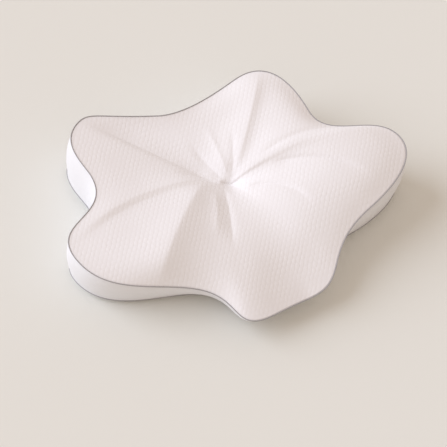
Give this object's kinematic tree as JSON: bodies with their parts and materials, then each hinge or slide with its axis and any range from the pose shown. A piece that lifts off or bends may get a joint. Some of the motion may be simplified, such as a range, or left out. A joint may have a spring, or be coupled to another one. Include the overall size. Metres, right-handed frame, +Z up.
{
  "type": "cervical pillow",
  "caption": "Butterfly-shaped filled neck pillow with a gathered head hollow, in pale knit cloth with thin piping round its seams.",
  "frame": {"origin": "middle of the pillow's outline from above, on the surface that it rests on", "axes": "+X along the long side from wing to wing, +Y towards the head side with its two lobes, -Y towards the neck side, +Z up out of the padded face"},
  "size_m": [0.602, 0.4228, 0.1148],
  "materials": {
    "white_knit": "matte",
    "grey_piping": "matte"
  },
  "bodies": {
    "root": {"pillow": "white_knit", "top_piping": "grey_piping", "base_piping": "grey_piping"}
  },
  "joints": []
}
